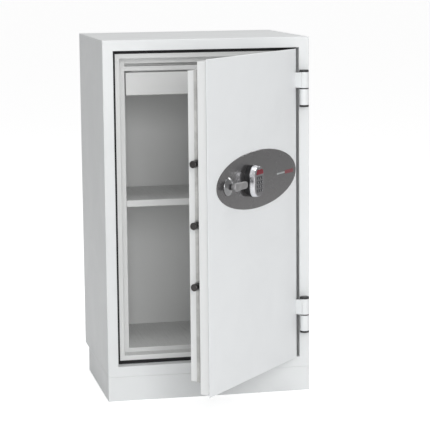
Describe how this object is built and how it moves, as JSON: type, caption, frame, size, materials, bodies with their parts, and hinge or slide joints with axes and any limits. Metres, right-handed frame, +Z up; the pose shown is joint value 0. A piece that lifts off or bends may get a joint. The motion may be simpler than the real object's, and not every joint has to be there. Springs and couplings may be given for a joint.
{
  "type": "fireproof document cabinet",
  "caption": "Upright fire-resistant document cabinet with its thick rebated door ajar: oval lock plate with keypad and lever, live bolts, barrel hinges, shelf and plinth.",
  "frame": {"origin": "middle of the cabinet body in plan, on the floor, on the underside of the plinth's base pan", "axes": "+Z up, +X to the right of someone facing the door, +Y from the door to the back"},
  "size_m": [0.64, 0.9684, 1.11],
  "materials": {
    "white_paint": "satin",
    "liner_paint": "satin",
    "grey_paint": "satin",
    "plate_metal": "gloss",
    "lever_metal": "satin",
    "chrome": "polished",
    "steel": "machined",
    "black_rubber": "matt",
    "grey_strip": "matt",
    "black_plastic": "fine grain",
    "grey_plastic": "fine grain",
    "key_plastic": "fine grain",
    "red_window": "gloss",
    "circuit_green": "lacquered",
    "pale_print": "satin",
    "red_print": "satin",
    "filling": "cast, rough"
  },
  "bodies": {
    "cabinet": {"body_shell": "white_paint", "rear_cover": "white_paint", "rear_screws": "steel", "wall_filling": "filling", "jamb_frame": "liner_paint", "frame_seal": "black_rubber", "inner_liner": "liner_paint", "strike_sleeves": "steel", "plinth": "white_paint", "base_pan": "grey_paint", "shelf_strips": "grey_paint", "shelf_clips": "steel", "shelf": "liner_paint", "header_rail": "liner_paint", "header_panel": "liner_paint", "hinge_frame_leaves": "white_paint", "hinge_pins": "steel", "hinge_washers": "black_plastic", "hinge_lower_caps": "black_plastic"},
    "door": {"hinge_door_leaves": "white_paint", "hinge_upper_caps": "black_plastic", "door_skin": "white_paint", "door_band": "white_paint", "door_filling": "filling", "inner_cover": "white_paint", "inner_filling": "filling", "cover_screws": "steel", "plug_seal": "grey_strip", "bolt_collars": "steel", "mechanism_plate": "steel", "lock_case": "steel", "lock_plate": "plate_metal", "stripe_pale": "pale_print", "stripe_red": "red_print", "handle_rose": "chrome", "keypad_base": "black_plastic", "keypad_body": "chrome", "keypad_panel": "grey_plastic", "keypad_display": "red_window", "keypad_board": "circuit_green", "keypad_cable": "black_plastic"},
    "handle": {"handle_lever": "lever_metal", "spindle": "steel", "drive_crank": "steel"},
    "boltwork": {"live_bolts": "steel", "bolt_nuts": "steel", "bolt_bar": "steel"},
    "blocking_bolt": {"lock_bolt": "steel"},
    "key_01_body": {"key_01": "key_plastic"},
    "key_02_body": {"key_02": "key_plastic"},
    "key_03_body": {"key_03": "key_plastic"},
    "key_04_body": {"key_04": "key_plastic"},
    "key_05_body": {"key_05": "key_plastic"},
    "key_06_body": {"key_06": "key_plastic"},
    "key_07_body": {"key_07": "key_plastic"},
    "key_08_body": {"key_08": "key_plastic"},
    "key_09_body": {"key_09": "key_plastic"},
    "key_10_body": {"key_10": "key_plastic"},
    "key_11_body": {"key_11": "key_plastic"},
    "key_12_body": {"key_12": "key_plastic"}
  },
  "joints": [
    {"name": "door_hinge", "type": "hinge", "parent": "cabinet", "child": "door", "pos_m": [0.2986, -0.278, 0.6], "axis": [0, 0, 1], "range_deg": [-49.6, 70.4]},
    {"name": "handle_turn", "type": "hinge", "parent": "door", "child": "handle", "pos_m": [0.00135, -0.63576, 0.7045], "axis": [-0.7615, 0.6481, 0], "range_deg": [0, 80]},
    {"name": "boltwork_slide", "type": "slide", "parent": "door", "child": "boltwork", "axis": [0.6481, 0.7615, 0], "range_m": [0, 0.028]},
    {"name": "blocking_bolt_slide", "type": "slide", "parent": "door", "child": "blocking_bolt", "axis": [0, 0, 1], "range_m": [-0.02, 0]},
    {"name": "key_01_press", "type": "slide", "parent": "door", "child": "key_01_body", "axis": [-0.7615, 0.6481, 0], "range_m": [0, 0.001], "stiffness_N_per_m": 400},
    {"name": "key_02_press", "type": "slide", "parent": "door", "child": "key_02_body", "axis": [-0.7615, 0.6481, 0], "range_m": [0, 0.001], "stiffness_N_per_m": 400},
    {"name": "key_03_press", "type": "slide", "parent": "door", "child": "key_03_body", "axis": [-0.7615, 0.6481, 0], "range_m": [0, 0.001], "stiffness_N_per_m": 400},
    {"name": "key_04_press", "type": "slide", "parent": "door", "child": "key_04_body", "axis": [-0.7615, 0.6481, 0], "range_m": [0, 0.001], "stiffness_N_per_m": 400},
    {"name": "key_05_press", "type": "slide", "parent": "door", "child": "key_05_body", "axis": [-0.7615, 0.6481, 0], "range_m": [0, 0.001], "stiffness_N_per_m": 400},
    {"name": "key_06_press", "type": "slide", "parent": "door", "child": "key_06_body", "axis": [-0.7615, 0.6481, 0], "range_m": [0, 0.001], "stiffness_N_per_m": 400},
    {"name": "key_07_press", "type": "slide", "parent": "door", "child": "key_07_body", "axis": [-0.7615, 0.6481, 0], "range_m": [0, 0.001], "stiffness_N_per_m": 400},
    {"name": "key_08_press", "type": "slide", "parent": "door", "child": "key_08_body", "axis": [-0.7615, 0.6481, 0], "range_m": [0, 0.001], "stiffness_N_per_m": 400},
    {"name": "key_09_press", "type": "slide", "parent": "door", "child": "key_09_body", "axis": [-0.7615, 0.6481, 0], "range_m": [0, 0.001], "stiffness_N_per_m": 400},
    {"name": "key_10_press", "type": "slide", "parent": "door", "child": "key_10_body", "axis": [-0.7615, 0.6481, 0], "range_m": [0, 0.001], "stiffness_N_per_m": 400},
    {"name": "key_11_press", "type": "slide", "parent": "door", "child": "key_11_body", "axis": [-0.7615, 0.6481, 0], "range_m": [0, 0.001], "stiffness_N_per_m": 400},
    {"name": "key_12_press", "type": "slide", "parent": "door", "child": "key_12_body", "axis": [-0.7615, 0.6481, 0], "range_m": [0, 0.001], "stiffness_N_per_m": 400}
  ],
  "couplings": [
    {"joint": "boltwork_slide", "follows": "handle_turn", "m_per_rad": 0.020054}
  ]
}
